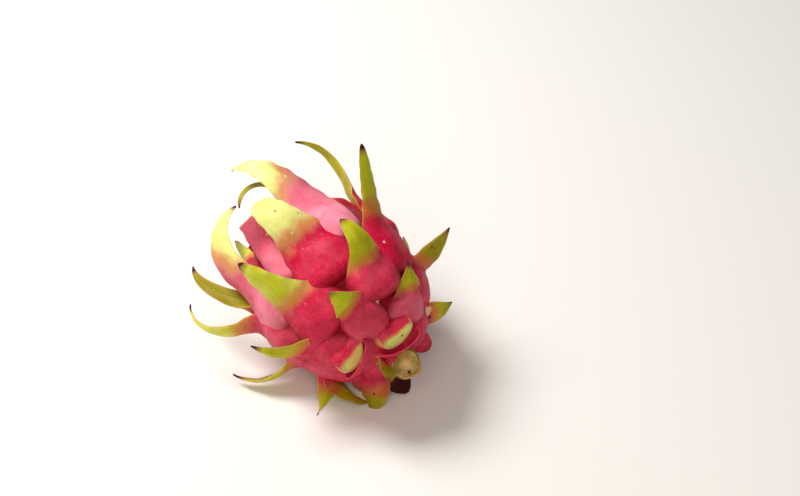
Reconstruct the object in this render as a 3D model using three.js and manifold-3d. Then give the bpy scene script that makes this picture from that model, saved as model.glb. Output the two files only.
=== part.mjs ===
// A dragon fruit (pitahaya) lying on its side: a fleshy body covered by leafy scales that
// stand on a golden-angle spiral, and the short cut end of the cactus stem it grew on.
//
// Frame: millimetres, +Z up, origin on the surface under the middle of the bounding box.
// The long axis lies in the XZ plane, with the cut stem towards +X and the blossom end raised.

import * as THREE from 'three';
import { mergeVertices } from 'three/addons/utils/BufferGeometryUtils.js';
import Module from 'manifold-3d';

const wasm = await Module();
wasm.setup();

// ---------------------------------------------------------------- driving dimensions
const FRUIT_LENGTH = 98.2;          // stem pole to blossom pole, over the skin
const FRUIT_DIAMETER = 78.4;        // widest girth, over the skin
const CREASE_DEPTH = 2.4;           // the plain core lies this far under the skin
const SUNK = 1.5;                   // the scales' roots reach this far into the core
const BLOSSOM_END_RAISED = 13.5;    // degrees between the long axis and the surface
const FRUIT_CENTRE = [3.67, 4.95, 42.3];  // middle of the long axis
const TIP_PRESS = 0.3;              // blades that reach the surface are pressed this far against it

// The scales' spiral. Latitude is measured in degrees from the stem pole, turn in degrees
// round the long axis from the upper side.
const SPIRAL = {
  first: -3, last: 45, startLatitude: 16, latitudeStep: 3.2, startTurn: -12, divergence: -137.5,
};
const DEGREES_PER_MM = 1.273;       // latitude covered by one millimetre of skin

// The scar that the flower leaves in the middle of the blossom end.
const SCAR = { craterRadius: 9, craterDepth: 6, studRadius: 3, studHeight: 2.5 };

// The cut stem leaves the fruit along its axis and bends to one side, where it is cut square
// across. Its route gives places from the stem pole: first along the axis, then sideways.
const STEM = {
  radius: 7, buried: 6, bendTurn: -29, cutTurn: 60, route: [[0, 0], [5.5, 0], [8.1, 2.8]],
  lobes: [{ count: 3, height: 0.045, turn: 0.8 }, { count: 5, height: 0.03, turn: 2.4 }],
  fit: 0.3,
};
// Rings of the stem: how far on along the route, radius as a part of the stem's own, and how
// far the outer side of the bend stays back from the cut.
const STEM_PROFILE = [
  { on: -1, width: 0.9, back: 0 },
  { on: 0, width: 0.97, back: 0 },
  { on: 0.5, width: 1.09, back: 0 },
  { on: 1, width: 1.12, back: 2 },
  { on: 1, width: 0.98, back: 0.25 },
  { on: 1, width: 0.93, back: 0 },
];

// How every scale grows, unless its own line in GROWTH says otherwise. Lengths in mm, angles
// in degrees.
//   width         widest part of the cushion that the scale grows out of
//   below, above  reach of the cushion towards the stem and towards the blossom end
//   crown         how proud of the skin the cushion swells
//   blade         length of the free blade
//   neck          blade's width where it leaves the cushion, as a part of width
//   spread        how far along the blade its shoulders run out
//   taper, fill   exponents of the blade's outline: higher fill, sharper tip
//   rise          lift of the blade from the skin; curl bends it on from there, bend says how late
//   sway          sideways bend; twist turns the face of the blade, over the part called wound
//   cup           radius of the blade's hollow inner face
//   thick         thickness in the middle of the blade at its root; blunt, of its tip as a part
//   lobe          how much thicker the blade is to one side of its middle
//   trim          part of the blade that is left where its tip was cut off
//   slide, turn   shift from the scale's place on the spiral, in degrees
const HABIT = {
  crown: 1.6, neck: 0.42, spread: 0.22, taper: 1.6, fill: 0.8, rise: 25, curl: 0, bend: 1.6,
  sway: 0, twist: 0, wound: 0.6, cup: 40, thick: 3.2, blunt: 0.28, lobe: 0, trim: 1, slide: 0,
  turn: 0,
};
const STEM_END_CROWN = 4.2;         // cushions swell most near the stem
const MIDDLE_CROWN = 3.4;
const CUSHION_PLUMPNESS = 3.6;      // exponents of a scale's cross-section: higher is flatter
const BLADE_PLUMPNESS = 2.6;

const GROWTH = new Map([
  // the stem end: short scales, hooded and pushed outwards
  [-3, { blade: 5, width: 12, rise: 30, below: 6, above: 3, crown: 1.2 }],
  [-2, { blade: 19, width: 9.8, rise: 131, curl: -91, sway: -10, twist: -89, slide: -0.2,
    turn: 33.4, below: 7, above: 4, neck: 0.95, fill: 0.4, cup: 30 }],
  [-1, { blade: 14, width: 22, rise: 85, curl: -10, slide: 10, below: 9, above: 5, neck: 0.8,
    fill: 0.4, crown: 2.2, cup: 14 }],
  [0, { blade: 12, width: 28, rise: 90, curl: 0, sway: 22, twist: -20, slide: -1.5, turn: 3.5,
    below: 9, above: 5, neck: 0.85, fill: 0.3, cup: 20, thick: 18, blunt: 0, lobe: -0.15,
    trim: 0.65 }],
  [1, { blade: 37, width: 32, rise: 78.5, curl: -41, sway: -8, twist: -78, slide: -2.2, turn: -9.5,
    below: 9, above: 5, neck: 0.68, fill: 0.65, cup: 16 }],
  [2, { blade: 21, width: 30, rise: 63, curl: -36, sway: -2, twist: 30, turn: 10, below: 12,
    above: 6, neck: 0.6, fill: 0.85, crown: 4.5 }],
  [3, { blade: 10.5, width: 28, rise: 115, curl: 0, sway: -60, twist: 48, slide: 1.4, turn: -2,
    below: 10, above: 6, neck: 0.8, fill: 0.3, cup: 24, thick: 19, blunt: 0, lobe: -0.5,
    trim: 0.65 }],
  [4, { blade: 30, width: 24, rise: 100, curl: -40, sway: 39, slide: -8, turn: 10, neck: 0.8,
    fill: 0.4 }],
  [5, { blade: 19.8, width: 31, rise: 12.7, curl: -6, sway: -16, twist: 32, slide: 2.9, turn: 12,
    neck: 0.52, fill: 1.28 }],
  [6, { blade: 40, width: 34, rise: 80, curl: -5, sway: -40, twist: -18, slide: 3.3, turn: -21.6,
    neck: 0.58, fill: 2.2 }],
  [7, { blade: 20, width: 28, rise: 12, curl: -10 }],
  [8, { blade: 27, width: 27, rise: 59, curl: -40, sway: -16, slide: -2.5, turn: 3, below: 9,
    above: 8, neck: 0.6, spread: 0.5, fill: 0.75 }],
  [9, { blade: 41.8, width: 31, rise: 114, curl: 28, sway: 80, twist: -17, slide: -5.6, turn: 21,
    above: 6, neck: 0.64, fill: 0.45, cup: 30 }],
  // the belly: broad cushions with strong blades
  [10, { blade: 31.5, width: 29, rise: 60, curl: -15, sway: -38, twist: 60, slide: 1, turn: 10.5,
    neck: 0.5, fill: 0.8 }],
  [11, { blade: 37, width: 34, rise: 50, curl: -60, sway: -4.5, slide: -6, neck: 0.43,
    spread: 0.3 }],
  [12, { blade: 34, rise: 35, curl: -30, sway: 6 }],
  [13, { blade: 32, width: 35, rise: 57, curl: -89, sway: -12, twist: 6, slide: 0.5, turn: 1,
    below: 8.5, neck: 0.44, spread: 0.3, fill: 0.55 }],
  [14, { blade: 46, width: 31, rise: 76, curl: -84, sway: 10, twist: 16, slide: -5.3, turn: 10,
    neck: 0.52, fill: 1.05 }],
  [15, { blade: 20, width: 30, rise: 18, curl: -10, sway: 10 }],
  [16, { blade: 42.8, width: 42, rise: 29.1, curl: -35.2, sway: -4.2, twist: 8.1, slide: -4.1,
    turn: -3.6, below: 9, neck: 0.43, spread: 0.35, fill: 0.51 }],
  [17, { blade: 32, rise: 24, curl: -20, sway: -8 }],
  [18, { blade: 48.5, width: 36, rise: 31.5, turn: -2, neck: 0.38, taper: 2.2, fill: 0.5 }],
  [19, { blade: 57.2, width: 43, rise: 89.8, curl: -130, sway: -13.2, twist: -17.8, slide: 0.2,
    turn: -3.2, above: 8, neck: 0.27, fill: 1.1, crown: 5.6 }],
  [20, { blade: 42, width: 32, rise: 38, curl: -30, sway: -10, neck: 0.4 }],
  [21, { blade: 50, width: 42, rise: 50, curl: -118, sway: -22, turn: -3, below: 9, neck: 0.56,
    spread: 0.3, fill: 0.45, cup: 14 }],
  [22, { blade: 40, rise: 20, curl: -20, sway: -12, crown: 5.9 }],
  [23, { blade: 59.7, width: 30, rise: 38, curl: -82, bend: 2.5, sway: -28, twist: -13,
    slide: 11.7, turn: 6, neck: 0.42, fill: 0.6 }],
  [24, { blade: 64, width: 42, rise: 39.5, curl: -120, sway: 22, twist: -30, turn: -15, neck: 0.48,
    fill: 0.6 }],
  [25, { blade: 42, width: 32, rise: 35, curl: -50, sway: 8 }],
  [26, { blade: 65, width: 33, rise: 34.5, curl: -88, bend: 2, sway: -23, slide: 6, turn: -10,
    neck: 0.7, spread: 0.3, fill: 0.6, cup: 16 }],
  [27, { blade: 61.0, width: 13, rise: 38.5, curl: -56.9, bend: 2.1, sway: -32.6, twist: 104.4,
    wound: 0.39, slide: -12.6, turn: 18.8, neck: 0.8, fill: 0.7 }],
  [28, { blade: 34, width: 26, rise: 9, curl: -20, crown: 1 }],
  [29, { blade: 31, width: 24, rise: 51, curl: -21, sway: 14, twist: 21, slide: -2.5, turn: -8,
    neck: 0.75, spread: 0.3, fill: 0.4, trim: 0.7 }],
  // the blossom end: narrow scales that close over the scar
  [30, { blade: 36, width: 23, rise: 24, curl: -60, neck: 0.6 }],
  [31, { blade: 22, width: 14, rise: 0, curl: -40, slide: 8, turn: 24, below: 9, neck: 0.6,
    crown: 0.2 }],
  [32, { blade: 20, width: 20, rise: 34, curl: -25, sway: -30, slide: 6, turn: 1.5, neck: 0.6 }],
  [33, { blade: 34, width: 22, rise: 26, curl: -60, sway: 8, neck: 0.6 }],
  [34, { blade: 28, width: 20, rise: 10, curl: -60, neck: 0.6, crown: 1 }],
  [35, { blade: 32, width: 19, rise: 24, curl: -50, neck: 0.6 }],
  [36, { blade: 26, width: 18, rise: 5, curl: -50, neck: 0.6, crown: 1 }],
  [37, { blade: 26, width: 16, rise: 20, curl: -50, neck: 0.6 }],
  [38, { blade: 27, width: 17, rise: 28, curl: -20, neck: 0.6 }],
  [39, { blade: 18, width: 15, rise: 5, curl: -40, neck: 0.6, crown: 1 }],
  [40, { blade: 22, width: 14, rise: 20, curl: -30, neck: 0.6 }],
  [41, { blade: 22, width: 14, rise: 20, curl: -20, neck: 0.6 }],
  [42, { blade: 43, width: 18, rise: 83, curl: -160, bend: 1.4, sway: -95, slide: -9, turn: 47,
    below: 7, above: 4, neck: 0.8, fill: 0.8 }],
  [43, { blade: 20, width: 13, rise: 25, curl: -20, below: 7, above: 4, neck: 0.6 }],
  [44, { blade: 16, width: 12, rise: 15, curl: -20, below: 7, above: 4, neck: 0.6 }],
  [45, { blade: 18, width: 12, rise: 20, curl: -30, below: 7, above: 4, neck: 0.6 }],
]);

// ---------------------------------------------------------------- fineness of the solids
const CUSHION_STATIONS = [0, 0.1, 0.36, 1];
const BLADE_STEPS = 80;             // steps in which a blade's midrib is followed
const BLADE_STATION_EVERY = 8;      // mm between stations, and two more near the tip
// Points of one cross-section: across is -1 at one margin and 1 at the other.
const OUTER_POINTS = [1, 0.74, 0.3, -0.3, -0.74, -1];
const INNER_POINTS = [-0.55, 0.55];
const CORE_SIDES = 28;
const CORE_RINGS = 14;
const STEM_SIDES = 24;

// ---------------------------------------------------------------- colours
const SKIN = new THREE.MeshStandardMaterial({ color: 0xd6265a, roughness: 0.45, metalness: 0 });
const CUT_STEM = new THREE.MeshStandardMaterial({ color: 0x8f8f4e, roughness: 0.7, metalness: 0 });

// ---------------------------------------------------------------- small helpers
const radians = THREE.MathUtils.degToRad;
const clamp = THREE.MathUtils.clamp;
const mix = THREE.MathUtils.lerp;

function ease(from, to, x) {
  const t = clamp((x - from) / (to - from), 0, 1);
  return t * t * (3 - 2 * t);
}

// A quarter of a superellipse: 0 at 0, level at 1.
function swell(x, power) {
  return Math.sqrt(1 - (1 - clamp(x, 0, 1)) ** power);
}

// ---------------------------------------------------------------- the body's own frame
// Inside the fruit z runs along the long axis from the middle towards the blossom end, and x
// is its upper side.
const RAISED = radians(BLOSSOM_END_RAISED);
const fruitToPart = new THREE.Matrix4().makeBasis(
  new THREE.Vector3(Math.sin(RAISED), 0, Math.cos(RAISED)),
  new THREE.Vector3(0, 1, 0),
  new THREE.Vector3(-Math.cos(RAISED), 0, Math.sin(RAISED)),
).setPosition(...FRUIT_CENTRE);

const HALF_LENGTH = FRUIT_LENGTH / 2;
const HALF_GIRTH = FRUIT_DIAMETER / 2;

// The skin at a latitude and turn: its point, its outward normal, the way on towards the
// blossom end and the way round.
function skin(latitude, turn) {
  const a = radians(latitude);
  const out = new THREE.Vector3(Math.cos(turn), Math.sin(turn), 0);
  const round = new THREE.Vector3(-Math.sin(turn), Math.cos(turn), 0);
  const on = out.clone().multiplyScalar(HALF_GIRTH * Math.cos(a));
  on.z = HALF_LENGTH * Math.sin(a);
  on.normalize();
  const point = out.clone().multiplyScalar(HALF_GIRTH * Math.sin(a));
  point.z = -HALF_LENGTH * Math.cos(a);
  return { point, on, round, normal: on.clone().cross(round).negate() };
}

// ---------------------------------------------------------------- solids from rings of points
// Joins closed rings, all with the same number of points, into one closed geometry.
function loft(rings) {
  const sides = rings[0].length;
  const position = rings.flat().flatMap((p) => [p.x, p.y, p.z]);
  const index = [];
  const cap = (ring, flip) => {
    const centre = rings[ring].reduce((sum, p) => sum.add(p), new THREE.Vector3());
    centre.divideScalar(sides);
    position.push(centre.x, centre.y, centre.z);
    const c = position.length / 3 - 1;
    for (let j = 0; j < sides; j += 1) {
      const a = ring * sides + j;
      const b = ring * sides + (j + 1) % sides;
      index.push(c, ...(flip ? [b, a] : [a, b]));
    }
  };
  for (let i = 0; i < rings.length - 1; i += 1) {
    for (let j = 0; j < sides; j += 1) {
      const a = i * sides + j;
      const b = i * sides + (j + 1) % sides;
      index.push(a, b, b + sides, a, b + sides, a + sides);
    }
  }
  cap(0, true);
  cap(rings.length - 1, false);
  const geometry = new THREE.BufferGeometry();
  geometry.setAttribute('position', new THREE.Float32BufferAttribute(position, 3));
  geometry.setIndex(index);
  return geometry;
}

function toManifold(geometry) {
  const plain = geometry.clone();
  plain.deleteAttribute('normal');
  plain.deleteAttribute('uv');
  const merged = mergeVertices(plain, 1e-4);
  const corners = [];
  for (let i = 0; i < merged.index.count; i += 3) {
    const [a, b, c] = [0, 1, 2].map((j) => merged.index.getX(i + j));
    if (a !== b && b !== c && c !== a) corners.push(a, b, c);
  }
  return new wasm.Manifold(new wasm.Mesh({
    numProp: 3,
    vertProperties: new Float32Array(merged.attributes.position.array),
    triVerts: new Uint32Array(corners),
  }));
}

// The corners of the largest connected shell: pockets sealed in between overlapping scales
// are filled this way.
function largestShell(corners, count) {
  const parent = Array.from({ length: count }, (_, i) => i);
  const top = (i) => {
    let at = i;
    while (parent[at] !== at) {
      parent[at] = parent[parent[at]];
      at = parent[at];
    }
    return at;
  };
  corners.forEach((corner, i) => {
    const last = i % 3 === 2 ? corners[i - 2] : corners[i + 1];
    parent[top(corner)] = top(last);
  });
  const size = new Map();
  corners.forEach((corner) => size.set(top(corner), (size.get(top(corner)) ?? 0) + 1));
  const [largest] = [...size].reduce((a, b) => (b[1] > a[1] ? b : a));
  return corners.filter((corner) => top(corner) === largest);
}

function toGeometry(solid) {
  const mesh = solid.getMesh();
  const corners = largestShell(mesh.triVerts, mesh.vertProperties.length / 3);
  const geometry = new THREE.BufferGeometry();
  geometry.setAttribute('position', new THREE.BufferAttribute(mesh.vertProperties, 3));
  geometry.setIndex(new THREE.BufferAttribute(corners, 1));
  geometry.computeVertexNormals();
  return geometry;
}

// ---------------------------------------------------------------- one scale
function growthOf(k) {
  const latitude = SPIRAL.startLatitude + SPIRAL.latitudeStep * k;
  const girth = Math.sqrt(Math.sin(radians(clamp(latitude, 14, 166))));
  const scale = {
    ...HABIT,
    width: 35 * girth,
    below: 12.5 * girth,
    above: 6 * girth,
    blade: 24 + 0.8 * k,
    ...(k < 28 && { crown: k < 18 ? STEM_END_CROWN : MIDDLE_CROWN }),
    ...GROWTH.get(k),
  };
  scale.latitude = latitude + scale.slide;
  scale.turned = radians(SPIRAL.startTurn + SPIRAL.divergence * k + scale.turn);
  return scale;
}

// Stations along a scale's midrib: first over the cushion, on the skin, then out on the blade.
function midrib(scale) {
  const length = scale.below + scale.above;
  const stations = CUSHION_STATIONS.map((part) => {
    const latitude = scale.latitude + DEGREES_PER_MM * (length * part - scale.below);
    return { ...skin(latitude, scale.turned), latitude, part, u: 0 };
  });
  const step = scale.trim / BLADE_STEPS;
  const count = Math.round(scale.blade * scale.trim / BLADE_STATION_EVERY) + 2;
  const marks = Array.from({ length: count }, (_, i) => {
    const toTip = 1 - (i + 1) / count;
    return Math.round(BLADE_STEPS * (1 - toTip ** 1.2));
  });
  const root = stations.at(-1);
  const place = root.point.clone();
  for (let i = 1; i <= BLADE_STEPS; i += 1) {
    const u = (i - 0.5) * step;
    const lift = radians(scale.rise * ease(0, 0.35, u) + scale.curl * u ** scale.bend);
    const swing = radians(scale.sway * u);
    const along = root.on.clone().multiplyScalar(Math.cos(swing))
      .addScaledVector(root.round, Math.sin(swing)).multiplyScalar(Math.cos(lift))
      .addScaledVector(root.normal, Math.sin(lift));
    place.addScaledVector(along, scale.blade * step);
    if (marks.includes(i)) {
      const side = root.round.clone().multiplyScalar(Math.cos(swing))
        .addScaledVector(root.on, -Math.sin(swing));
      side.addScaledVector(along, -side.dot(along)).normalize();
      const face = side.clone().cross(along);
      if (face.dot(root.normal) * Math.cos(lift) < face.dot(root.on) * Math.sin(lift)) {
        face.negate();
      }
      const turn = radians(scale.twist) * ease(0, scale.wound, u);
      stations.push({
        point: place.clone(),
        round: side.clone().multiplyScalar(Math.cos(turn)).addScaledVector(face, Math.sin(turn)),
        normal: face.clone().multiplyScalar(Math.cos(turn)).addScaledVector(side, -Math.sin(turn)),
        part: 1,
        u: i * step,
      });
    }
  }
  return stations;
}

// Half the width, the heights of both faces and the sideways bend at one station.
function section(scale, { part, u, latitude }) {
  const girthAt = (angle) => HALF_GIRTH * Math.sin(radians(clamp(angle, 12, 168)));
  const half = scale.width / 2;
  if (u === 0) {
    const rounded = swell(part / 0.5, 2);
    return {
      width: Math.max(half * swell(part / 0.55, 3) * (1 - 0.12 * ease(0.55, 1, part)), 0.05),
      top: -CREASE_DEPTH + (CREASE_DEPTH + scale.crown) * rounded
        - (0.4 * scale.crown - 0.5 * scale.thick) * ease(0.5, 1, part),
      bottom: CREASE_DEPTH + SUNK,
      dive: mix(CREASE_DEPTH + SUNK, 1.2, ease(0.5, 1, part)),
      radius: girthAt(latitude),
    };
  }
  const shoulder = 0.88 * half;
  const neck = scale.neck / 0.88;
  const halfThick = 0.5 * scale.thick * (1 - (1 - scale.blunt) * u);
  const girth = girthAt(scale.latitude + DEGREES_PER_MM * scale.above);
  return {
    width: Math.max(shoulder * (neck * (1 - u ** scale.taper) ** scale.fill
      + (1 - neck) * Math.exp(-((u / scale.spread) ** 1.5)) * (1 - u)), 0.4),
    top: 0.6 * scale.crown * (1 - ease(0, 0.4, u)) + halfThick,
    bottom: mix(CREASE_DEPTH + SUNK, halfThick, ease(0, 0.2, u)),
    dive: 1.2 * (1 - ease(0, 0.2, u)),
    radius: mix(girth, scale.cup, ease(0, 0.45, u)),
  };
}

function ringAt(scale, station) {
  const { width, top, bottom, dive, radius } = section(scale, station);
  const bent = Math.max(radius, 0.66 * width, 5);
  const place = (across, height) => {
    const angle = across * width / bent;
    const reach = bent + height - dive * Math.abs(across) ** 4;
    return station.point.clone()
      .addScaledVector(station.round, Math.sin(angle) * reach)
      .addScaledVector(station.normal, Math.cos(angle) * reach - bent);
  };
  const plumpness = mix(CUSHION_PLUMPNESS, BLADE_PLUMPNESS, ease(0, 0.2, station.u));
  const lobe = (x) => 1 + scale.lobe * x * ease(0, 0.3, station.u);
  const swollen = (x) => top * (1 - Math.abs(x) ** plumpness) * lobe(x);
  const outer = OUTER_POINTS.map((x) => place(x, top > 0 ? swollen(x) : top));
  const under = top > 0 ? 0 : top - 0.3;
  const depth = top > 0 ? bottom : 0.5 * bottom;
  const inner = INNER_POINTS.map((x) => place(x, under - depth * Math.sqrt(1 - x ** 4) * lobe(x)));
  return [...outer, ...inner];
}

// Blades that would dip under the surface are bent up, so that their tips just touch down on it.
function bendClear(ring, u) {
  const lowest = Math.min(...ring.map((p) => p.z)) + TIP_PRESS;
  const lifted = 0.5 * (lowest + Math.hypot(lowest, 1));
  const lift = (lifted - lowest) * ease(0, 0.5, u);
  ring.forEach((p) => { p.z += lift; });
  return ring;
}

function scaleSolid(k) {
  const scale = growthOf(k);
  const rings = midrib(scale).map((station) => {
    const ring = ringAt(scale, station).map((p) => p.applyMatrix4(fruitToPart));
    return bendClear(ring, station.u);
  });
  return toManifold(loft(rings.map((ring) => ring.reverse())));
}

// ---------------------------------------------------------------- the core and the stem
function coreSolid() {
  const length = HALF_LENGTH - CREASE_DEPTH;
  const girth = HALF_GIRTH - CREASE_DEPTH;
  const lastAngle = Math.PI - Math.asin(SCAR.craterRadius / girth);
  const profile = [];
  for (let i = 0; i <= CORE_RINGS; i += 1) {
    const a = lastAngle * i / CORE_RINGS;
    profile.push(new THREE.Vector2(girth * Math.sin(a), -length * Math.cos(a)));
  }
  profile[0].x = 0;
  const floor = length - SCAR.craterDepth;
  profile.push(
    new THREE.Vector2(0.72 * SCAR.craterRadius, floor + 1.2),
    new THREE.Vector2(1.2 * SCAR.studRadius, floor),
    new THREE.Vector2(SCAR.studRadius, floor + 0.8 * SCAR.studHeight),
    new THREE.Vector2(0, floor + SCAR.studHeight),
  );
  // A lathe turns about Y, and the long axis is z.
  const core = new THREE.LatheGeometry(profile, CORE_SIDES).rotateX(Math.PI / 2);
  return toManifold(core.applyMatrix4(fruitToPart));
}

// The stem grown by a margin, so that the same shape also cuts its seat.
function stemSolid(margin) {
  const bend = radians(STEM.bendTurn);
  const out = new THREE.Vector3(0, 0, -1);
  const aside = new THREE.Vector3(Math.cos(bend), Math.sin(bend), 0);
  const level = out.clone().cross(aside);
  const [start, turning, end] = STEM.route.map(([x, y]) => new THREE.Vector2(x, y));
  const route = new THREE.QuadraticBezierCurve(start, turning, end);
  const rings = STEM_PROFILE.map(({ on, width, back }) => {
    const part = Math.max(on, 0);
    const place = route.getPoint(part);
    const along = HALF_LENGTH + place.x + Math.min(on, 0) * (STEM.buried + margin);
    const turn = radians(STEM.cutTurn * part);
    const facing = out.clone().multiplyScalar(Math.cos(turn))
      .addScaledVector(aside, Math.sin(turn));
    const outward = out.clone().multiplyScalar(Math.sin(turn))
      .addScaledVector(aside, -Math.cos(turn));
    const middle = out.clone().multiplyScalar(along).addScaledVector(aside, place.y)
      .addScaledVector(facing, margin * part);
    return Array.from({ length: STEM_SIDES }, (_, j) => {
      const a = 2 * Math.PI * j / STEM_SIDES;
      const lobed = STEM.lobes.reduce(
        (sum, lobe) => sum + lobe.height * Math.cos(lobe.count * a + lobe.turn), 1);
      const radius = STEM.radius * width * lobed + margin * (1 + 2 * part);
      return middle.clone().addScaledVector(outward, radius * Math.cos(a))
        .addScaledVector(level, radius * Math.sin(a))
        .addScaledVector(facing, -back * (0.5 + 0.5 * Math.cos(a)))
        .applyMatrix4(fruitToPart);
    });
  });
  return toManifold(loft(rings.map((ring) => ring.reverse())));
}

// Everything below the surface, which presses the underside flat where the fruit rests.
function underSurface() {
  const size = 4 * FRUIT_LENGTH;
  return toManifold(new THREE.BoxGeometry(size, size, size).translate(0, 0, -size / 2));
}

// ---------------------------------------------------------------- the fruit
let fruit = coreSolid();
for (let k = SPIRAL.first; k <= SPIRAL.last; k += 1) {
  fruit = fruit.add(scaleSolid(k));
}
fruit = fruit.subtract(stemSolid(STEM.fit)).subtract(underSurface());

const group = new THREE.Group();
const addPiece = (name, solid, material) => {
  const mesh = new THREE.Mesh(toGeometry(solid), material);
  mesh.name = name;
  group.add(mesh);
};
addPiece('fruit', fruit, SKIN);
addPiece('stem_stub', stemSolid(0), CUT_STEM);

export default group;
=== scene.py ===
"""A dragon fruit lying on its side, with its scales and its cut stem, in metres.

The fruit is grown by rule: a plain core, and one fleshy scale after another on a golden-angle
spiral from the stem to the blossom end. Lengths in the growth table are millimetres.
"""

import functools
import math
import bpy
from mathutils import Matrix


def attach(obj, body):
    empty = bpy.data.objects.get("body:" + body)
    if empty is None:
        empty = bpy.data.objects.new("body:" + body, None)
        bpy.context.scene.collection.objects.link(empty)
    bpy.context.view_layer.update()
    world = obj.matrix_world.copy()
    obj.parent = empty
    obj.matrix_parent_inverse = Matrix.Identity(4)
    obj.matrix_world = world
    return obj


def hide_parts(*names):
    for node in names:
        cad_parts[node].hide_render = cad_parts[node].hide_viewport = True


bl_info = {
    "name": "Dragon fruit",
    "version": (1, 0, 0),
    "blender": (4, 5, 0),
    "location": "3D View > Sidebar > Dragon fruit",
    "description": "Grows a dragon fruit with its scales and its cut stem around its packed frame",
    "category": "Add Mesh",
}

from types import SimpleNamespace

import bmesh
import bpy
import numpy as np
from bpy.props import FloatProperty, FloatVectorProperty, IntProperty, PointerProperty
from mathutils import Matrix, Vector

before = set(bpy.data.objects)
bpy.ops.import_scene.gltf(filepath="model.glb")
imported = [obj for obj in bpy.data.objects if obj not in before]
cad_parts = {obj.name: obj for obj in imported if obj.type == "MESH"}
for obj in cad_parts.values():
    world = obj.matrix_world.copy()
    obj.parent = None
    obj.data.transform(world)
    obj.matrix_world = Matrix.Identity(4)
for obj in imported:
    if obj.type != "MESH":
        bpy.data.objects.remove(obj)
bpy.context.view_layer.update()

MM = 0.001

# ---------------------------------------------------------------- growth of the scales
FIRST_SCALE = -3
LAST_SCALE = 45

# How every scale grows, unless its zone or its own line says otherwise. Lengths in mm, angles
# in degrees.
#   width         widest part of the cushion that the scale grows out of
#   below, above  reach of the cushion towards the stem and towards the blossom end
#   crown         how proud of the skin the cushion swells
#   blade         length of the free blade
#   neck          blade's width where it leaves the cushion, as a part of width
#   spread        how far along the blade its shoulders run out
#   taper, fill   exponents of the blade's outline: higher fill, sharper tip
#   rise          lift of the blade from the skin; curl bends it on from there, bend says how late
#   sway          sideways bend; twist turns the face of the blade, over the part called wound
#   cup           radius of the blade's hollow inner face
#   thick         thickness in the middle of the blade at its root; blunt, of its tip as a part
#   lobe          how much thicker the blade is towards one margin
#   trim          part of the blade that is left where its tip was cut off
#   slide, turn   shift from the scale's place on the spiral, in degrees
#   green         where along the blade its pink gives way to green, 0 at the root
#   lean          how much sooner it does so towards one margin than towards the other
#   painted_sheen painted highlight: a pale waxy sheen over its pink, strongest facing the light
#   tone of the green: 0 olive, 1 pale yellow; partly own tone, partly painted light
#   dark          length of the dark tip; dry, 1 where the whole scale has dried to tan
HABIT = dict(crown=4.2, neck=0.42, spread=0.22, taper=1.6, fill=0.8, rise=25, curl=0, bend=1.6,
             sway=0, twist=0, wound=0.6, cup=40, thick=3.2, blunt=0.28, lobe=0, trim=1, slide=0,
             turn=0, green=0.3, lean=0, painted_sheen=0.08, tone=0.45, dark=1.2, dry=0)
# What shrinks towards the poles with the square root of the fruit's girth: its size at the
# equator. Nearer to a pole than POLE degrees it shrinks no further.
GIRTH_HABIT = dict(width=35, below=12.5, above=6)
POLE = 14
# Towards the blossom end cushions grow flatter, and then necks broader: each from a scale on.
ZONES = {18: dict(crown=3.4), 28: dict(crown=1.6), 30: dict(neck=0.6)}

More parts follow.
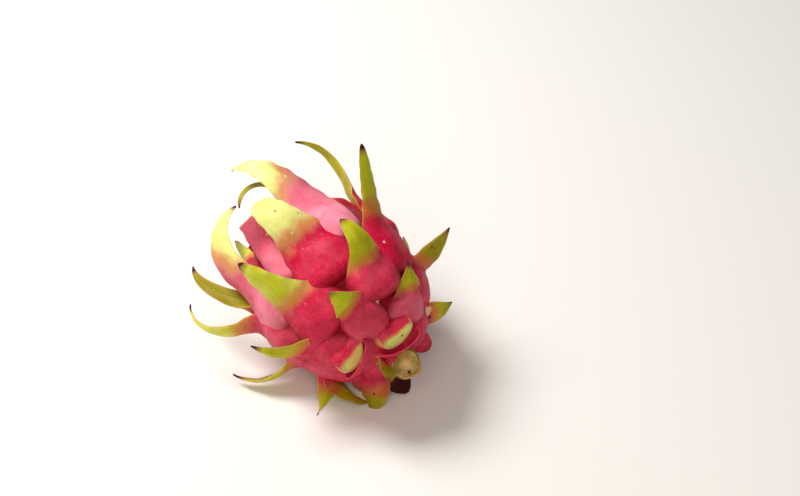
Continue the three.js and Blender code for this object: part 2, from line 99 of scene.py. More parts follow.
GROWTH = {
    # the stem end: short scales, hooded and pushed outwards
    -3: dict(blade=5, width=12, rise=30, below=6, above=3, crown=1.2, dry=1),
    -2: dict(blade=19, width=9.8, rise=131, curl=-91, sway=-10, twist=-89, slide=-0.2, turn=33.4,
             below=7, above=4, neck=0.95, fill=0.4, cup=30, green=0.45, tone=0.05, dark=0),
    -1: dict(blade=14, width=22, rise=85, curl=-10, slide=10, below=9, above=5, neck=0.8, fill=0.4,
             crown=2.2, cup=14, green=1.3, dark=0),
    0: dict(blade=12, width=28, rise=90, sway=22, twist=-20, slide=-1.5, turn=3.5, below=9,
            above=5, neck=0.85, fill=0.3, cup=20, thick=18, blunt=0, lobe=-0.15, trim=0.65,
            green=1, tone=0.5, dark=0),
    1: dict(blade=37, width=32, rise=78.5, curl=-41, sway=-8, twist=-78, slide=-2.2, turn=-9.5,
            below=9, above=5, neck=0.68, fill=0.65, cup=16, green=0.43, tone=0.15, dark=0.8),
    2: dict(blade=21, width=30, rise=63, curl=-36, sway=-2, twist=30, turn=10, below=12, above=6,
            neck=0.6, fill=0.85, crown=4.5, green=0.45, tone=0.2, dark=0.6),
    3: dict(blade=10.5, width=28, rise=115, sway=-60, twist=48, slide=1.4, turn=-2, below=10,
            above=6, neck=0.8, fill=0.3, cup=24, thick=19, blunt=0, lobe=-0.5, trim=0.65, green=1,
            tone=0.5, dark=0),
    # Scale 4 lies in the shade under the stem: its long dark tip and olive green are partly a dry
    # tip and partly painted shade.
    4: dict(blade=30, width=24, rise=100, curl=-40, sway=39, slide=-8, turn=10, neck=0.8, fill=0.4,
            tone=0, dark=16),
    5: dict(blade=19.8, width=31, rise=12.7, curl=-6, sway=-16, twist=32, slide=2.9, turn=12,
            neck=0.52, fill=1.28, green=0.32, lean=-0.08, painted_sheen=0.3, tone=0.3, dark=2),
    6: dict(blade=40, width=34, rise=80, curl=-5, sway=-40, twist=-18, slide=3.3, turn=-21.6,
            neck=0.58, fill=2.2, green=0.42, tone=0.4, dark=2),
    7: dict(blade=20, width=28, rise=12, curl=-10),
    8: dict(blade=27, width=27, rise=59, curl=-40, sway=-16, slide=-2.5, turn=3, below=9, above=8,
            neck=0.6, spread=0.5, fill=0.75, green=0.34, lean=-0.07, painted_sheen=0.15, tone=0.4,
            dark=0.3),
    9: dict(blade=41.8, width=31, rise=114, curl=28, sway=80, twist=-17, slide=-5.6, turn=21,
            above=6, neck=0.64, fill=0.45, cup=30, green=0.38, tone=0.2, dark=0),
    # the belly: broad cushions with strong blades
    10: dict(blade=31.5, width=29, rise=60, curl=-15, sway=-38, twist=60, slide=1, turn=10.5,
             neck=0.5, green=0.36, tone=0.1, dark=1.5),
    11: dict(blade=37, width=34, rise=50, curl=-60, sway=-4.5, slide=-6, neck=0.43, spread=0.3,
             green=0.42, lean=0.12, tone=0.3, dark=3),
    12: dict(blade=34, rise=35, curl=-30, sway=6),
    13: dict(blade=32, width=35, rise=57, curl=-89, sway=-12, twist=6, slide=0.5, turn=1,
             below=8.5, neck=0.44, spread=0.3, fill=0.55, green=0.26, tone=0.35, dark=0.8),
    14: dict(blade=46, width=31, rise=76, curl=-84, sway=10, twist=16, slide=-5.3, turn=10,
             neck=0.52, fill=1.05, green=0.34, lean=0.18, painted_sheen=0.2, tone=0.3, dark=4),
    15: dict(blade=20, width=30, rise=18, curl=-10, sway=10),
    16: dict(blade=42.8, width=42, rise=29.1, curl=-35.2, sway=-4.2, twist=8.1, slide=-4.1,
             turn=-3.6, below=9, neck=0.43, spread=0.35, fill=0.51, green=0.29, lean=0.05,
             painted_sheen=0.05, tone=0.6, dark=2.2),
    17: dict(blade=32, rise=24, curl=-20, sway=-8),
    18: dict(blade=48.5, width=36, rise=31.5, turn=-2, neck=0.38, taper=2.2, fill=0.5, green=0.35,
             painted_sheen=0, tone=0.35, dark=2.5),
    19: dict(blade=57.2, width=43, rise=89.8, curl=-130, sway=-13.2, twist=-17.8, slide=0.2,
             turn=-3.2, above=8, neck=0.27, fill=1.1, crown=5.6, green=0.35, painted_sheen=0.2, tone=0.65,
             dark=3),
    20: dict(blade=42, width=32, rise=38, curl=-30, sway=-10, neck=0.4),
    21: dict(blade=50, width=42, rise=50, curl=-118, sway=-22, turn=-3, below=9, neck=0.56,
             spread=0.3, fill=0.45, cup=14, green=0.34, lean=0.03, painted_sheen=0, tone=0.75, dark=0.3),
    22: dict(blade=40, rise=20, curl=-20, sway=-12, crown=5.9),
    23: dict(blade=59.7, width=30, rise=38, curl=-82, bend=2.5, sway=-28, twist=-13, slide=11.7,
             turn=6, fill=0.6, green=0.45, tone=0.6, dark=2),
    24: dict(blade=64, width=42, rise=39.5, curl=-120, sway=22, twist=-30, turn=-15, neck=0.48,
             fill=0.6, green=0.46, lean=0.14, painted_sheen=0.68, tone=0.8, dark=2),
    25: dict(blade=42, width=32, rise=35, curl=-50, sway=8),
    26: dict(blade=65, width=33, rise=34.5, curl=-88, bend=2, sway=-23, slide=6, turn=-10,
             neck=0.7, spread=0.3, fill=0.6, cup=16, green=0.44, lean=-0.14, painted_sheen=0.95, tone=0.8,
             dark=0.6),
    27: dict(blade=61, width=13, rise=38.5, curl=-56.9, bend=2.1, sway=-32.6, twist=104.4,
             wound=0.39, slide=-12.6, turn=18.8, neck=0.8, fill=0.7, green=0.24, tone=0.05,
             dark=5),
    28: dict(blade=34, width=26, rise=9, curl=-20, crown=1),
    29: dict(blade=31, width=24, rise=51, curl=-21, sway=14, twist=21, slide=-2.5, turn=-8,
             neck=0.75, spread=0.3, fill=0.4, trim=0.7, green=1.3, painted_sheen=0.65, tone=0.5, dark=0),
    # the blossom end: narrow scales that close over the scar
    30: dict(blade=36, width=23, rise=24, curl=-60),
    31: dict(blade=22, width=14, rise=0, curl=-40, slide=8, turn=24, below=9, crown=0.2),
    32: dict(blade=20, width=20, rise=34, curl=-25, sway=-30, slide=6, turn=1.5,
             green=0.1, tone=0.6),
    33: dict(blade=34, width=22, rise=26, curl=-60, sway=8),
    34: dict(blade=28, width=20, rise=10, curl=-60, crown=1),
    35: dict(blade=32, width=19, rise=24, curl=-50),
    36: dict(blade=26, width=18, rise=5, curl=-50, crown=1),
    37: dict(blade=26, width=16, rise=20, curl=-50),
    38: dict(blade=27, width=17, rise=28, curl=-20),
    39: dict(blade=18, width=15, rise=5, curl=-40, crown=1),
    40: dict(blade=22, width=14, rise=20, curl=-30),
    41: dict(blade=22, width=14, rise=20, curl=-20),
    42: dict(blade=43, width=18, rise=83, curl=-160, bend=1.4, sway=-95, slide=-9, turn=47,
             below=7, above=4, neck=0.8, green=0.2, tone=0.2),
    43: dict(blade=20, width=13, curl=-20, below=7, above=4),
    44: dict(blade=16, width=12, rise=15, curl=-20, below=7, above=4),
    45: dict(blade=18, width=12, rise=20, curl=-30, below=7, above=4),
}

# ---------------------------------------------------------------- fineness of the meshes
CUSHION_STATIONS = 22
BLADE_STATIONS = 40
AROUND = 36
CORE_RINGS = 48
CRATER_RINGS = 13
CORE_SIDES = 96
STEM_SIDES = 72

SQUARE = ((-1, -1), (1, -1), (1, 1), (-1, 1))      # corners of the floor and of the block

# ---------------------------------------------------------------- forms, in mm
LATITUDE_PER_MM = 1.273     # degrees of latitude
# The darker skin near a cushion's outline is painted shade in its crease.
CREASE_SHADE_REACH = 4.5          # how far from a cushion's outline its skin is deeper in colour
CREASE_SHARP = math.radians(50)     # creases sharper than this are shaded as sharp
CUSHION_PLUMPNESS = 3.6     # exponents of a scale's cross-section: higher is flatter
BLADE_PLUMPNESS = 2.6
SHOULDER = 0.88             # width of a blade's shoulders as a part of its cushion's
MARGIN_DIVE = 1.2           # how far a scale's margins turn down
WAIST = 0.55                # where a cushion is widest, 0 at its lower end and 1 at the blade
CREST = 0.5                 # where it is highest
ROOT_CROWN = 0.6            # its height where the blade leaves it, as a part of its crown
LEAST_THICKNESS = 0.3       # where it dips under the skin
LEAST_WIDTH = 0.3           # half width of a tip, and of a cushion's lower end
LEAST_ROOT = 0.05
LEAST_BEND = 12             # degrees from the poles within which cushions bend no tighter
TIGHTEST = 0.66             # radius of a sideways bend, at least, as a part of the half width
TIGHTEST_MM = 5
DENTS = 7
DENT_LENGTHS = (9, 22)
DENT_HEIGHT = 0.17
BLADE_DENTS = 0.4           # what is left of them on the blade
RIPPLES = 3
RIPPLE_LENGTHS = (7, 15)
RIPPLE_HEIGHT = 0.2
RIPPLE_WIDTH = 6            # half width from which a blade's margins wave in full
RIPPLE_SHIFT = 1.3          # how far the waves of the two margins are out of step
KEEL_HEIGHT = 0.35
KEEL_WIDTH = 0.16           # as a part of half the blade's width
INNER_KEEL = 0.8            # its furrow in the inner face, as a part of it
FAR = 99                    # farther than any point of a scale is from its tip
POLE_RADIUS = 0.05          # of the small cap that closes each end of the core
STUD_HEIGHT = 2.2           # stub of the flower in its scar
STUD_RADIUS = 2.6
CRATER_WALL = 0.55          # part of the way to its middle over which the scar falls off
SCAR_EDGE = (1.25, 0.85)    # where its skin turns dry, in radii of the crater
# What each scale's row says of its colours.
COLOURING = ("green", "lean", "painted_sheen", "tone", "dark", "dry")


# ---------------------------------------------------------------- sizes and colours
def metres(name, description, default, least=0.0):
    return FloatProperty(name=name, description=description, default=default, min=least,
                         unit="LENGTH")


def degrees(name, description, default):
    """An angle whose default is given in degrees."""
    return FloatProperty(name=name, description=description, default=math.radians(default),
                         subtype="ANGLE")


def watts(name, description, default):
    return FloatProperty(name=name, description=description, default=default, unit="POWER")


def colour(name, description, default):
    """A colour, linear and without alpha."""
    return FloatVectorProperty(name=name, description=description, default=default, size=3,
                               min=0.0, max=1.0, subtype="COLOR")


class FruitSizes(bpy.types.PropertyGroup):
    """Sizes of the fruit's body and of the spiral that its scales stand on."""

    length: metres("Length", "Stem pole to blossom pole, over the skin", 0.0982, 0.05)
    diameter: metres("Diameter", "Widest girth, over the skin", 0.0784, 0.04)
    crease: metres("Crease depth", "Depth of the core under the skin", 0.0024, 0.001)
    sunk: metres("Sunk", "Reach of the scales' roots into the core", 0.0015)
    centre: FloatVectorProperty(name="Centre", description="Middle of the long axis", size=3,
                                default=(0.00367, 0.00495, 0.0423), unit="LENGTH")
    raised: degrees("Blossom end raised", "Long axis to the surface", 13.5)
    press: metres("Tip press", "Blades reach this far into the surface", 0.0003)
    start_latitude: degrees("First latitude", "Latitude of scale 0", 16)
    latitude_step: degrees("Latitude step", "From one scale to the next", 3.2)
    start_turn: degrees("First turn", "Turn of scale 0 round the axis", -12)
    divergence: degrees("Divergence", "Turn from one scale to the next", -137.5)
    crater_radius: metres("Crater radius", "Hollow of the flower's scar", 0.009, 0.002)
    crater_depth: metres("Crater depth", "Depth of the flower's scar", 0.006, 0.001)
    seed: IntProperty(name="Seed", description="Chooses the dents and waves", default=7)


class StemSizes(bpy.types.PropertyGroup):
    """Sizes of the cut end of the stem."""

    radius: metres("Radius", "Mean radius of the stem", 0.007, 0.002)
    buried: metres("Buried", "Length inside the fruit", 0.006, 0.001)
    gap: metres("Gap", "Between the stem and its seat", 0.0003, 0.0001)


class FruitColours(bpy.types.PropertyGroup):
    """Colours of the skin, from its creases to the tips of its scales."""

    skin: colour("Skin", "Ripe skin", (0.74, 0.004, 0.062))
    # Darker skin: for the mottle, and as painted shade in the creases.
    deep_and_crease_shade: colour("Deep skin", "Skin in the creases", (0.27, 0.0005, 0.012))
    # Pale bloom: for the mottle, and as the painted sheen on the scales that face the light.
    bloom_and_sheen: colour("Bloom", "Pale waxy veil", (0.94, 0.31, 0.43))
    turning: colour("Turning", "Where pink gives way to green", (0.62, 0.17, 0.045))
    olive: colour("Olive", "Green of shaded scales", (0.27, 0.22, 0.002))
    lime: colour("Lime", "Green of most scales", (0.56, 0.60, 0.006))
    yellow: colour("Yellow", "Green of scales in full light", (0.97, 0.96, 0.45))
    flesh: colour("Flesh", "Cut through a scale", (0.80, 0.92, 0.30))
    tip: colour("Tip", "Dry tips", (0.055, 0.010, 0.012))
    purple: colour("Purple", "Between a scale's green and its dry tip", (0.24, 0.035, 0.03))
    margin: colour("Margin", "Dry edge of the scales", (0.66, 0.38, 0.13))
    scab: colour("Scab", "Healed wounds", (0.72, 0.52, 0.26))
    speck: colour("Speck", "Pale specks", (0.95, 0.70, 0.62))
    cut: colour("Cut face", "Cut end of the stem", (0.42, 0.29, 0.07))
    pith: colour("Pith", "Middle of the stem", (0.74, 0.44, 0.19))
    bark: colour("Bark", "Side of the stem", (0.22, 0.16, 0.02))


class StageSizes(bpy.types.PropertyGroup):
    """Camera, floor and light."""

    azimuth: degrees("Azimuth", "Turn of the camera about Z", 49.87)
    elevation: degrees("Elevation", "Height angle of the camera", 45)
    distance: metres("Distance", "Camera to the middle of the fruit", 0.85, 0.1)
    focal_px: FloatProperty(name="Focal length", description="In pixels of the picture",
                            default=1700.0)
    centre_px: FloatVectorProperty(name="Centre", description="Middle of the fruit, in pixels",
                                   default=(335.28, 283.74), size=2)
    floor: colour("Floor", "Plain pale floor", (0.86, 0.85, 0.84))
    key_power: watts("Key light", "Large soft light from above", 11.2)
    fill_power: watts("Fill light", "Soft light from the front", 3.0)
    surround: FloatProperty(name="Surround", description="Strength of the white surround",
                            default=0.24)


# ---------------------------------------------------------------- small helpers
def ease(start, end, x):
    part = np.clip((x - start) / (end - start), 0, 1)
    return part * part * (3 - 2 * part)


def swell(x, power):
    """A quarter of a superellipse: 0 at 0, level at 1."""
    return np.sqrt(1 - (1 - np.clip(x, 0, 1)) ** power)


def once_round(count):
    return np.linspace(0, 2 * math.pi, count, endpoint=False)


def dot(a, b):
    return np.sum(a * b, axis=-1, keepdims=True)


def unit(a):
    return a / np.linalg.norm(a, axis=-1, keepdims=True)


class Body:
    """The fruit's own frame, in mm: z along its axis to the blossom end, x its upper side."""

    def __init__(self, sizes):
        self.half_length = sizes.length / MM / 2
        self.half_girth = sizes.diameter / MM / 2
        self.crease = sizes.crease / MM
        self.sunk = sizes.sunk / MM
        self.press = sizes.press / MM
        self.centre = np.array(sizes.centre) / MM
        up, along = math.cos(sizes.raised), math.sin(sizes.raised)
        self.basis = np.array([[along, 0, up], [0, 1, 0], [-up, 0, along]])

    def to_part(self, points):
        return points @ self.basis + self.centre

    def skin(self, latitude, turn):
        """Point, way on, way round and outward normal at latitudes along one meridian."""
        a = np.radians(latitude)[:, None]
        out = np.array([math.cos(turn), math.sin(turn), 0.0])
        axis = np.array([0.0, 0.0, 1.0])
        way_round = np.array([-math.sin(turn), math.cos(turn), 0.0]) + 0 * a
        point = out * self.half_girth * np.sin(a) - axis * self.half_length * np.cos(a)
        way_on = unit(out * self.half_girth * np.cos(a) + axis * self.half_length * np.sin(a))
        return point, way_on, way_round, np.cross(way_round, way_on)


def growth_of(k, sizes):
    """How scale k grows: the habit of all, of its zone, and its own."""
    latitude = math.degrees(sizes.start_latitude + sizes.latitude_step * k)
    girth = math.sqrt(math.sin(math.radians(np.clip(latitude, POLE, 180 - POLE))))
    scale = {**HABIT, **{name: size * girth for name, size in GIRTH_HABIT.items()}}
    for first, habit in ZONES.items():
        if k >= first:
            scale.update(habit)
    scale = SimpleNamespace(**{**scale, **GROWTH[k]})
    scale.latitude = latitude + scale.slide
    scale.turned = sizes.start_turn + sizes.divergence * k + math.radians(scale.turn)
    return scale


# ---------------------------------------------------------------- one scale's surface
def midrib(scale, body):
    """Stations along the midrib: over the cushion, on the skin, then out on the blade."""
    reach = scale.below + scale.above
    part = np.linspace(0, 1, CUSHION_STATIONS)
    latitude = scale.latitude + LATITUDE_PER_MM * (reach * part - scale.below)
    point, way_on, way_round, normal = body.skin(latitude, scale.turned)
    root, root_on, root_round, root_normal = point[-1], way_on[-1], way_round[-1], normal[-1]

    step = scale.trim / BLADE_STATIONS
    u = np.arange(1, BLADE_STATIONS + 1)[:, None] * step
    middle = u - 0.5 * step
    lift = np.radians(scale.rise * ease(0, 0.35, middle)
                      + scale.curl * middle ** scale.bend)
    swing = np.radians(scale.sway * middle)
    along = (np.cos(lift) * (np.cos(swing) * root_on + np.sin(swing) * root_round)
             + np.sin(lift) * root_normal)
    side = np.cos(swing) * root_round - np.sin(swing) * root_on
    side = unit(side - along * dot(side, along))
    face = np.cross(along, side)
    flip = dot(face, np.cos(lift) * root_normal - np.sin(lift) * root_on) < 0
    face = np.where(flip, -face, face)
    turn = math.radians(scale.twist) * ease(0, scale.wound, middle)
    free_point = root + np.cumsum(along, axis=0) * scale.blade * step
    return SimpleNamespace(
        point=np.vstack([point, free_point]),
        side=np.vstack([way_round, side * np.cos(turn) + face * np.sin(turn)]),
        normal=np.vstack([normal, face * np.cos(turn) - side * np.sin(turn)]),
        part=np.append(part, np.ones(BLADE_STATIONS)),
        u=np.append(np.zeros(CUSHION_STATIONS), u),
        run=np.append(reach * part, reach + scale.blade * u),
        latitude=np.append(latitude, np.full(BLADE_STATIONS, latitude[-1])))


def section(scale, rib, body):
    """Half width, heights of both faces, dive of the margins and radius of the sideways bend,
    station by station."""
    part, u, free = rib.part, rib.u, rib.u > 0
    half = scale.width / 2
    cushion_width = (half * swell(part / WAIST, 3)
                     * (1 - (1 - SHOULDER) * ease(WAIST, 1, part)))
    neck = scale.neck / SHOULDER
    shoulders = np.exp(-((u / scale.spread) ** 1.5)) * (1 - u)
    blade_width = SHOULDER * half * (neck * (1 - u ** scale.taper) ** scale.fill
                                     + (1 - neck) * shoulders)
    half_thick = 0.5 * scale.thick * (1 - (1 - scale.blunt) * u)
    crown, thick = scale.crown, scale.thick
    cushion_top = (-body.crease + (body.crease + crown) * swell(part / CREST, 2)
                   - ((1 - ROOT_CROWN) * crown - 0.5 * thick) * ease(CREST, 1, part))
    latitude = np.radians(np.clip(rib.latitude, LEAST_BEND, 180 - LEAST_BEND))
    girth = body.half_girth * np.sin(latitude)
    to_blade = ease(0, 0.2, u)
    root_depth = body.crease + body.sunk
    bent = np.where(free, girth + (scale.cup - girth) * ease(0, 0.45, u), girth)
    width = np.maximum(np.where(free, blade_width, cushion_width),
                       np.where(free, LEAST_WIDTH, LEAST_ROOT))
    top = np.where(free, ROOT_CROWN * crown * (1 - ease(0, 0.4, u)) + half_thick, cushion_top)
    bottom = np.where(free, root_depth + (half_thick - root_depth) * to_blade, root_depth)
    dive = np.where(free, MARGIN_DIVE * (1 - to_blade),
                    root_depth + (MARGIN_DIVE - root_depth) * ease(CREST, 1, part))
    bent = np.maximum(bent, np.maximum(TIGHTEST * width, TIGHTEST_MM))
    return [values[:, None] for values in (width, top, bottom, dive, bent)]


def waves(across, run, draw):
    """Gentle dents over the cushion, and margins that wave, in mm along the outward normal."""
    dents = 0
    for _ in range(DENTS):
        length = draw.uniform(*DENT_LENGTHS)
        heading = draw.uniform(0, math.pi)
        phase = draw.uniform(0, 2 * math.pi)
        turn = 2 * math.pi / length
        dents = dents + np.sin(turn * (across * math.cos(heading) + run * math.sin(heading))
                               + phase)
    ripple = 0
    for _ in range(RIPPLES):
        length = draw.uniform(*RIPPLE_LENGTHS)
        phase = draw.uniform(0, 2 * math.pi)
        ripple = ripple + np.sin(2 * math.pi * run / length + phase
                                 + RIPPLE_SHIFT * np.sign(across))
    return DENT_HEIGHT * dents, RIPPLE_HEIGHT * ripple


def bend_clear(points, u, press):
    """Bends up a blade that would dip under the surface, so that its tip just touches down."""
    lowest = points[:, :, 2].min(axis=1) + press
    lift = (0.5 * (lowest + np.hypot(lowest, 1)) - lowest) * ease(0, 0.5, u)
    points[:, :, 2] += lift[:, None]
    return points


def heights(scale, rib, x, outer, form, draw):
    """How far each point lies off the bowed sheet through the midrib, in mm outwards."""
    width, top, bottom, dive, _ = form
    u, run = rib.u[:, None], rib.run[:, None]
    plumpness = CUSHION_PLUMPNESS + (BLADE_PLUMPNESS - CUSHION_PLUMPNESS) * ease(0, 0.2, u)
    lobe = 1 + scale.lobe * x * ease(0, 0.3, u)
    up = np.where(top > 0, top * (1 - np.abs(x) ** plumpness) * lobe, top)
    flat = np.sqrt(1 - x ** 4) * lobe
    down = np.where(top > 0, -bottom * flat, top - LEAST_THICKNESS - 0.5 * bottom * flat)
    dents, ripple = waves(x * width, run, draw)
    loose = ease(0, 0.3, u) * (1 - ease(0.9, 1, u)) * np.minimum(width / RIPPLE_WIDTH, 1)
    proud = ease(0.1, 0.4, rib.part[:, None]) * (1 - (1 - BLADE_DENTS) * ease(0, 0.3, u))
    height = (np.where(outer, up, down) - dive * x ** 4 + dents * proud * (1 - x ** 4)
              + ripple * loose * np.abs(x) ** 3)
    keel = (KEEL_HEIGHT * np.exp(-((x / KEEL_WIDTH) ** 2))
            * ease(0.05, 0.35, u) * (1 - ease(0.7, 1, u)))
    return height + np.where(outer, keel, keel * INNER_KEEL)


def known_of(scale, rib, x, outer, width):
    """What is known of each point of a scale, for the colours of its skin."""
    u, run = rib.u[:, None], rib.run[:, None]
    whole = np.ones_like(x * width)
    total = rib.run[-1] + (1 - scale.trim) * scale.blade
    before_root = (run - (total - scale.blade)) / scale.blade
    in_from_margin = (1 - np.abs(x)) * width
    to_cut = rib.run[-1] - run if scale.trim < 1 else FAR * whole
    return {
        "free": np.where(u > 0, u, before_root) * whole,
        "across": x * whole,
        "inner": np.where(outer, 0.0, 1.0) * whole,
        "to_tip": (total - run) * whole,
        "to_margin": np.minimum(in_from_margin, to_cut),
        # Painted shade: the skin darkens towards each cushion's outline, where its crease is.
        "crease": (ease(CREASE_SHADE_REACH, 0, np.minimum(in_from_margin, run))
                   * (1 - ease(0, 0.25, u))),
        "across_mm": x * width,
        "run_mm": run * whole,
        "cut": 0 * whole,
    }


def scale_surface(scale, body, draw):
    """Closed grid of points, station by station and once round, with what is known of each."""
    rib = midrib(scale, body)
    form = section(scale, rib, body)
    angle = once_round(AROUND)
    x = np.cos(angle)[None, :]
    outer = np.sin(angle)[None, :] >= -1e-6
    width, bent = form[0], form[-1]
    height = heights(scale, rib, x, outer, form, draw)
    bow = (x * width / bent)[:, :, None]
    reach = (bent + height)[:, :, None]
    points = (rib.point[:, None, :] + rib.side[:, None, :] * np.sin(bow) * reach
              + rib.normal[:, None, :] * (np.cos(bow) * reach - bent[:, :, None]))
    points = bend_clear(body.to_part(points), rib.u, body.press)
    facts = known_of(scale, rib, x, outer, width)
    return close_cut(points, facts) if scale.trim < 1 else (points, facts)


# Rings of a cut face: their size as a part of the cut's outline, and how far they're sunk, in mm.
CUT_RINGS = ((0.95, -0.05), (0.84, 0.1), (0.7, 0.3), (0.4, 0.35), (0.02, 0.25))


def close_cut(points, facts):
    """Adds the rings of the cut face, slightly sunk, to a blade whose tip was cut off."""
    ring = points[-1]
    middle = ring.mean(axis=0)
    back = unit(points[-2].mean(axis=0) - middle)
    face = [middle + (ring - middle) * part + back * sunk for part, sunk in CUT_RINGS]
    points = np.concatenate([points, face])
    for name, values in facts.items():
        facts[name] = np.vstack([values, np.repeat(values[-1:], len(face), axis=0)])
    facts["cut"][-len(face):] = [[2 - part] for part, _ in CUT_RINGS]
    return points, facts


# ---------------------------------------------------------------- meshes
def new_object(name, points, faces):
    mesh = bpy.data.meshes.new(name)
    mesh.from_pydata((np.asarray(points) * MM).tolist(), [], faces)
    mesh.validate()
    piece = bpy.data.objects.new(name, mesh)
    bpy.context.scene.collection.objects.link(piece)
    return piece


def ring_faces(rings, sides, flip):
    """Quads between closed rings of points, and a cap on each end."""
    index = np.arange(rings * sides).reshape(rings, sides)
    on = np.roll(index, -1, axis=1)
    quads = np.stack([index[:-1], on[:-1], on[1:], index[1:]], axis=-1).reshape(-1, 4)
    faces = quads.tolist() + [index[0][::-1].tolist(), index[-1].tolist()]
    return [face[::-1] for face in faces] if flip else faces


def new_rings(name, points, facts, flip=False):
    """A closed piece from rings of points. What is known of each point is stored on the face
    corners, where a join keeps it apart."""
    piece = new_object(name, points.reshape(-1, 3), ring_faces(*points.shape[:2], flip))
    mesh = piece.data
    corner = np.zeros(len(mesh.loops), np.int32)
    mesh.loops.foreach_get("vertex_index", corner)
    for name, values in facts.items():
        layer = mesh.attributes.new(name, "FLOAT", "CORNER")
        layer.data.foreach_set("value", np.ravel(values).astype(np.float32)[corner])
    return piece


def combine(piece, others, operation):
    """Joins the others to the piece, or cuts them from it, and removes them."""
    for other in others:
        step = piece.modifiers.new("step", "BOOLEAN")
        step.object = other
        step.operation = operation
        step.solver = "MANIFOLD"
    whole = bpy.data.meshes.new_from_object(
        piece.evaluated_get(bpy.context.evaluated_depsgraph_get()))
    piece.modifiers.clear()
    piece.data = whole
    for other in others:
        bpy.data.objects.remove(other)


def core_points(body, sizes):
    """The plain core under the scales, with the crater of the flower's scar at its end."""
    length = body.half_length - body.crease
    girth = body.half_girth - body.crease
    crater = sizes.crater_radius / MM
    floor = length - sizes.crater_depth / MM
    last = math.pi - math.asin(crater / girth)
    angle = np.linspace(0, last, CORE_RINGS)
    height = -length * np.cos(angle)
    part = np.linspace(0, 1, CRATER_RINGS + 1)[1:]
    bowl = crater * (1 - part)
    stud = STUD_HEIGHT * np.exp(-((bowl / STUD_RADIUS) ** 2))
    depth = (height[-1] - floor) * ease(0, CRATER_WALL, part) - stud
    radius = np.maximum(np.append(girth * np.sin(angle), bowl), POLE_RADIUS)
    height = np.append(height, height[-1] - depth)
    turn = once_round(CORE_SIDES)[None, :]
    points = np.stack([radius[:, None] * np.cos(turn), radius[:, None] * np.sin(turn),
                       height[:, None] + 0 * turn], axis=-1)
    dry_from, dry_to = SCAR_EDGE
    scar = ease(dry_from * crater, dry_to * crater, radius)[:, None] * (height > 0)[:, None]
    return body.to_part(points), scar + 0 * turn


# The stem leaves the fruit along its axis and bends towards one side, where it is cut. Places
# in mm from the stem pole: first along the axis, then sideways.
STEM_BEND_TURN = math.radians(-29)
STEM_ROUTE = ((0.0, 0.0), (5.5, 0.0), (8.1, 2.8))
CUT_TURN = math.radians(60)
# The tan side of the stem and the dark, cracked one, round from the outer side of the bend.
TAN_SIDE = math.radians(-5)
CRACKED_SIDE = math.radians(130)
# Its lobes: how many go round, how proud they are as a part of the radius, and their turn.
STEM_LOBES = ((3, 0.045, 0.8), (5, 0.03, 2.4))
# How far on along the route, the radius there as a part of the stem's own, and how far back
# from the cut, in mm.
STEM_PROFILE = ((-1.0, 0.9, 0), (-0.5, 0.93, 0), (0.0, 0.97, 0), (0.25, 1.03, 0), (0.5, 1.09, 0),
                (0.75, 1.12, 0), (1.0, 1.12, 2.0), (1.0, 1.07, 1.1), (1.0, 0.98, 0.25),
                (1.0, 0.93, 0.0))
# The rings of its cut face, as parts of the radius, and how deep the face is dished, in mm.
CUT_WIDTHS = (0.87, 0.8, 0.7, 0.62, 0.5, 0.38, 0.26, 0.14, 0.03)
CUT_DISH = 0.35


def stem_points(body, sizes, profile, margin):
    """Rings of the stem, grown by a margin in mm, and by three times as much at the cut."""
    angle = once_round(STEM_SIDES)[:, None]
    lobes = 1 + sum(proud * np.cos(count * angle + turn) for count, proud, turn in STEM_LOBES)
    out = np.array([0.0, 0.0, -1.0])
    aside = np.array([math.cos(STEM_BEND_TURN), math.sin(STEM_BEND_TURN), 0.0])
    level = np.cross(out, aside)
    route = np.array(STEM_ROUTE)
    rings = []
    for on, width, back in profile:
        part = max(on, 0)
        along, sideways = ((1 - part) ** 2 * route[0] + 2 * part * (1 - part) * route[1]
                           + part * part * route[2])
        along += min(on, 0) * (sizes.buried / MM + margin)
        turn = CUT_TURN * part
        facing = out * math.cos(turn) + aside * math.sin(turn)
        outward = out * math.sin(turn) - aside * math.cos(turn)
        radius = sizes.radius / MM * width * lobes + margin * (1 + 2 * part)
        middle = out * (along + body.half_length) + aside * sideways + facing * margin * part
        set_back = back * (0.5 + 0.5 * np.cos(angle))
        rings.append(middle + radius * (outward * np.cos(angle) + level * np.sin(angle))
                     - facing * set_back)
    return body.to_part(np.array(rings))


def largest_shell(piece):
    """Deletes the small shells that are sealed in between overlapping scales."""
    mesh = bmesh.new()
    mesh.from_mesh(piece.data)
    left = set(mesh.verts)
    shells = []
    while left:
        shell, front = set(), {left.pop()}
        while front:
            shell |= front
            front = {edge.other_vert(vert) for vert in front for edge in vert.link_edges} - shell
        shells.append(shell)
        left -= shell
    shells.sort(key=len)
    spare = [vert for shell in shells[:-1] for vert in shell]
    bmesh.ops.delete(mesh, geom=spare, context="VERTS")
    mesh.to_mesh(piece.data)
    mesh.free()


def smooth_shading(piece):
    piece.data.shade_smooth()
    piece.data.set_sharp_from_angle(angle=CREASE_SHARP)


